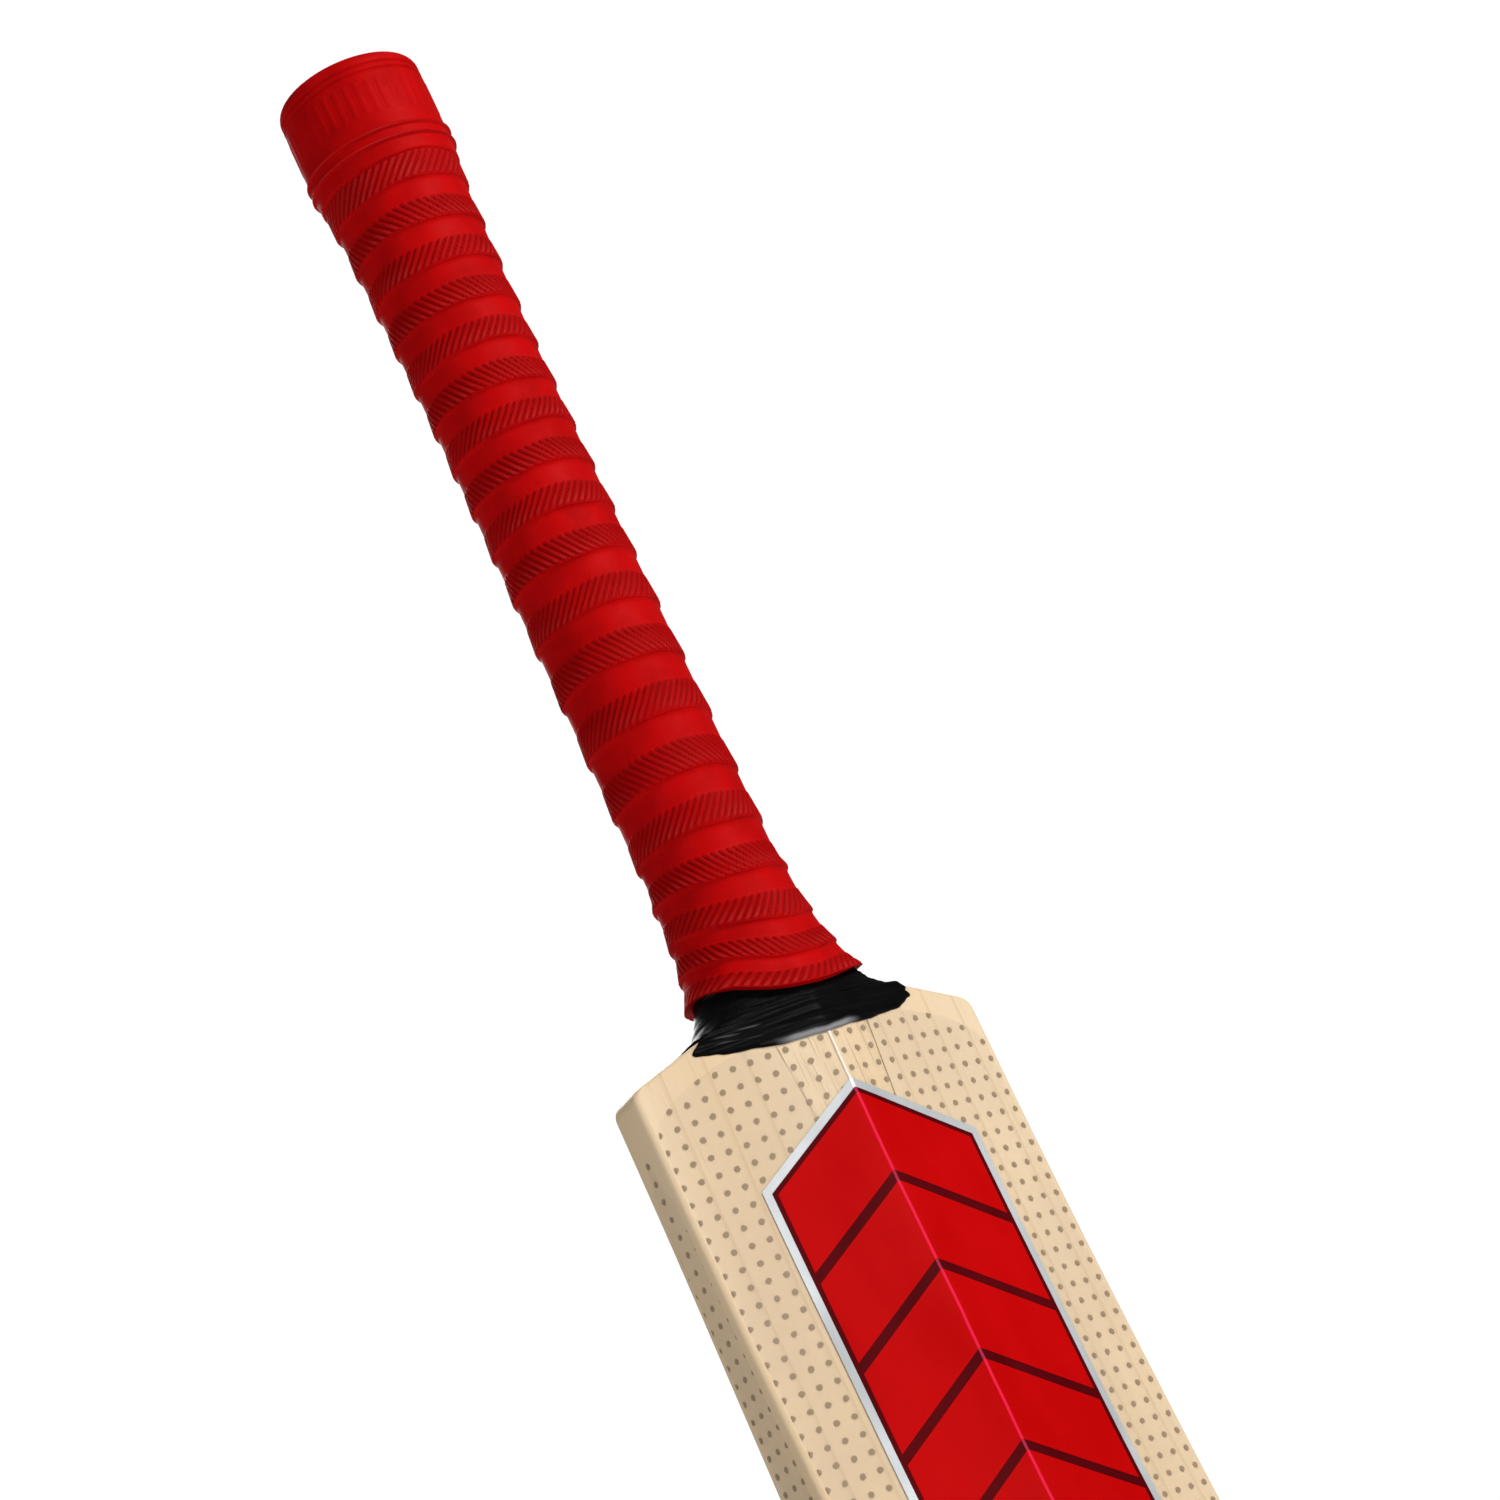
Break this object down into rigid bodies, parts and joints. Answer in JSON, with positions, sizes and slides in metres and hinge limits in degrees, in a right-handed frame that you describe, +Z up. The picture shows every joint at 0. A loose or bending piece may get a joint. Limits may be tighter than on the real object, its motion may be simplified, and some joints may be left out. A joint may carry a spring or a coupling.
{
  "type": "cricket bat",
  "caption": "Adult cricket bat: willow blade with a spined back, spliced laminated cane handle, ribbed red rubber grip, taped shoulders and clear cover films.",
  "frame": {"origin": "on the flat underside of the toe guard, where the axis of the handle meets it", "axes": "+Z up the handle from the toe, -Y out of the spined back, +Y out of the hitting face, +X across the blade"},
  "size_m": [0.109, 0.065, 0.85],
  "materials": {
    "willow": "satin, straight pale grain",
    "cane": "matt, close grain",
    "spring_rubber": "matt",
    "twine": "wound, waxed",
    "grip_rubber": "satin, dusty on the raised edges",
    "black_tape": "glossy, finely wrinkled",
    "clear_film": "clear and glossy, printed with a grid of small dots",
    "sticker_foil": "printed red with a dark inner line and a silver outline",
    "toe_rubber": "matt"
  },
  "bodies": {
    "root": {"blade": "willow", "toe_guard": "toe_rubber", "twine_binding": "twine", "grip": "grip_rubber", "shoulder_tape": "black_tape", "back_film": "clear_film", "face_film": "clear_film", "edge_film_left": "clear_film", "edge_film_right": "clear_film", "back_sticker_1": "sticker_foil", "back_sticker_2": "sticker_foil", "face_sticker": "sticker_foil", "cane_slat_1_1": "cane", "cane_slat_1_2": "cane", "cane_slat_1_3": "cane", "cane_slat_2_1": "cane", "cane_slat_2_2": "cane", "cane_slat_2_3": "cane", "cane_slat_3_1": "cane", "cane_slat_3_2": "cane", "cane_slat_3_3": "cane", "cane_slat_4_1": "cane", "cane_slat_4_2": "cane", "cane_slat_4_3": "cane", "rubber_spring_1": "spring_rubber", "rubber_spring_2": "spring_rubber", "rubber_spring_3": "spring_rubber"}
  },
  "joints": []
}
